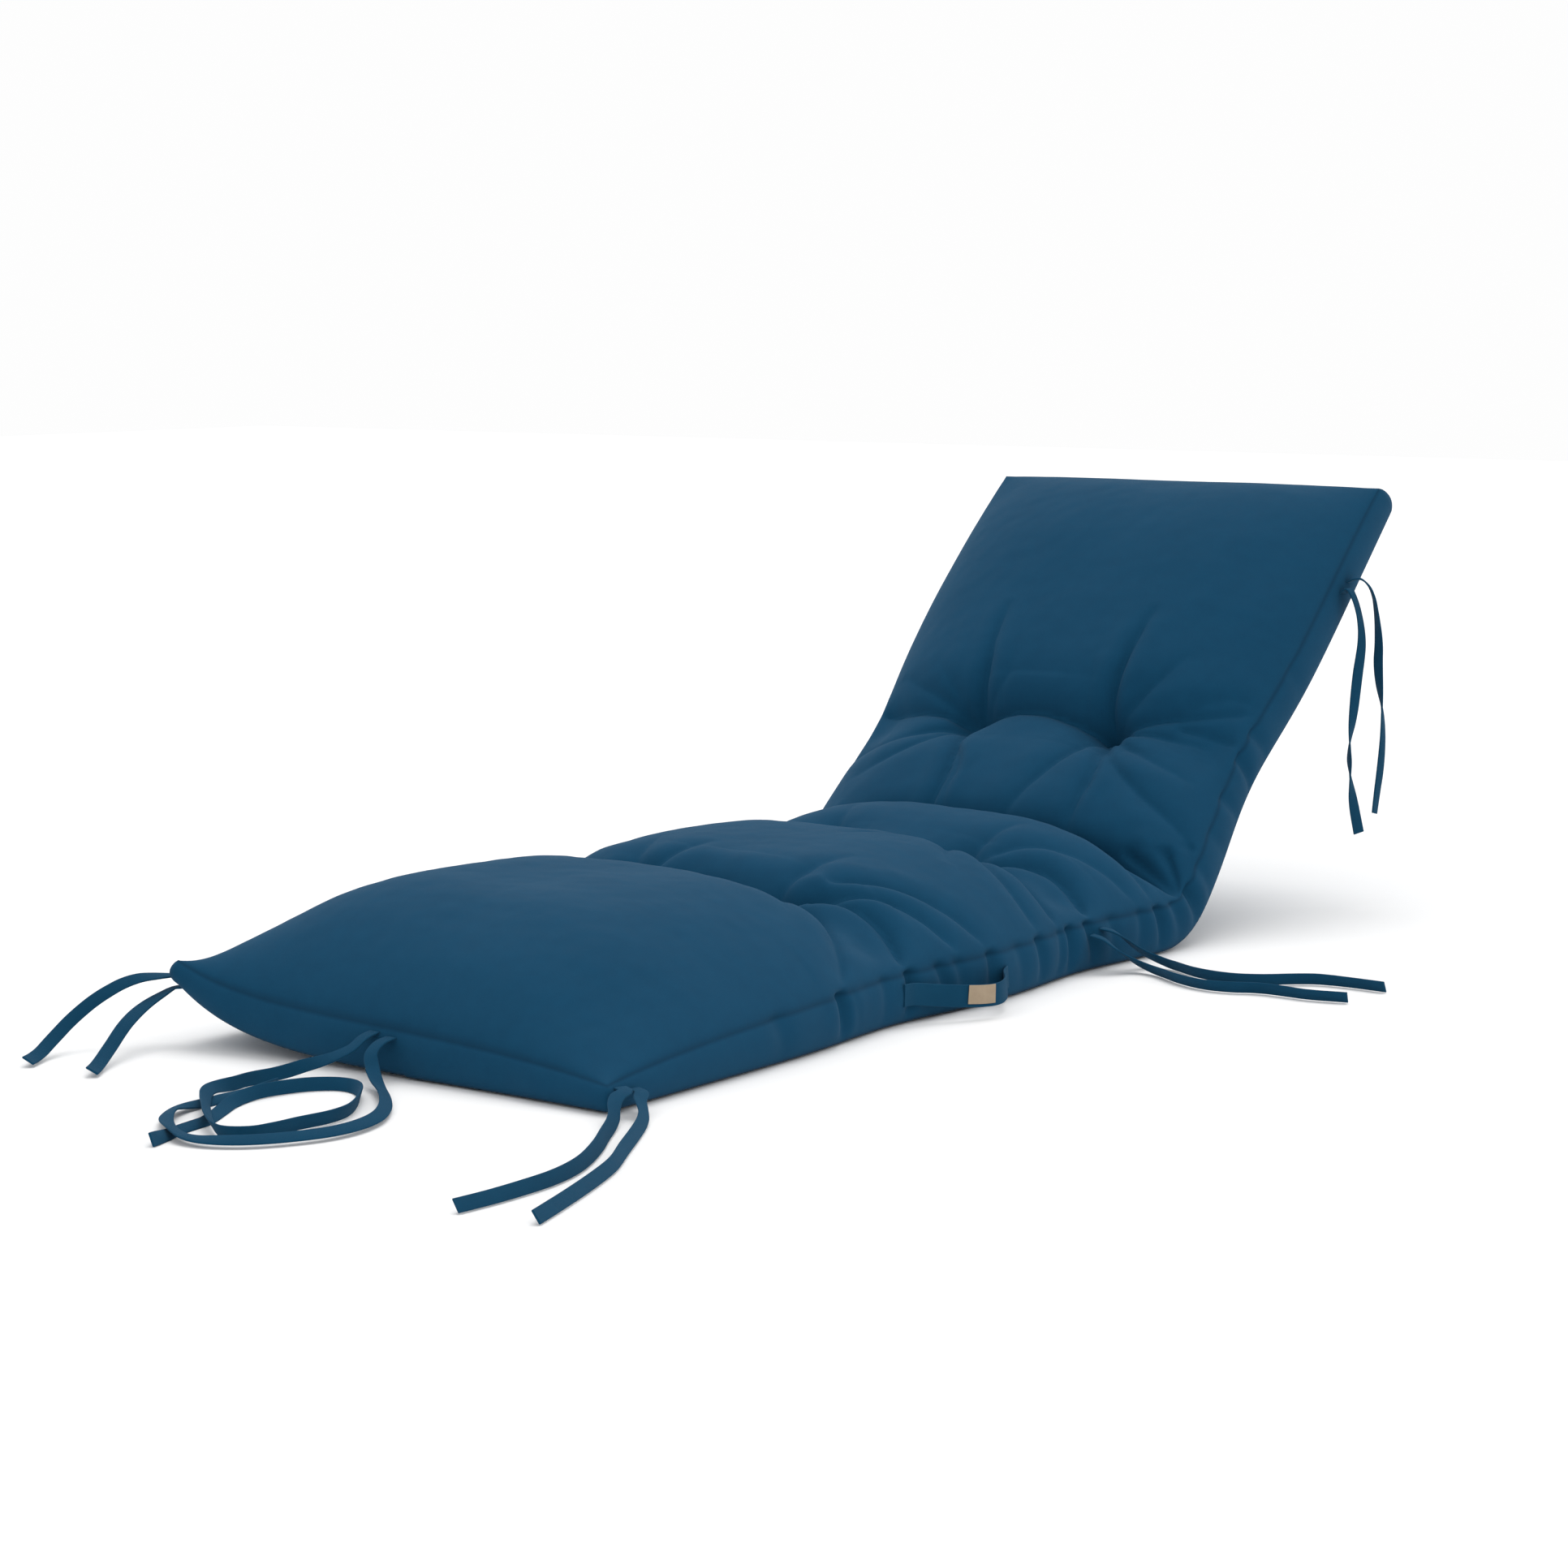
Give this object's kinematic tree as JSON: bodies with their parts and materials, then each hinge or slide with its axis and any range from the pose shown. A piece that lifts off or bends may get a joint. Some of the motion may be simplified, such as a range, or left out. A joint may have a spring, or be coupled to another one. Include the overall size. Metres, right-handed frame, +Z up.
{
  "type": "sun lounger cushion",
  "caption": "Tufted sun lounger cushion with a flat seat and raised back, boxed sides, tie tapes, a carry strap and a plain tag.",
  "frame": {"origin": "middle of the seat's underside, on the surface it lies on", "axes": "+X across towards the carry handle, +Y from the foot end to the head end, +Z up"},
  "size_m": [1.0197, 2.1367, 0.5633],
  "materials": {
    "cushion_fabric": "matte",
    "tie_tape": "matte",
    "handle_webbing": "matte",
    "tag": "matte"
  },
  "bodies": {
    "root": {"cushion": "cushion_fabric", "carry_handle": "handle_webbing", "handle_tag": "tag", "tie_foot_left_a": "tie_tape", "tie_foot_left_b": "tie_tape", "tie_foot_middle_a": "tie_tape", "tie_foot_middle_b": "tie_tape", "tie_foot_right_a": "tie_tape", "tie_foot_right_b": "tie_tape", "tie_seat_right_a": "tie_tape", "tie_seat_right_b": "tie_tape", "tie_back_right_a": "tie_tape", "tie_back_right_b": "tie_tape"}
  },
  "joints": []
}
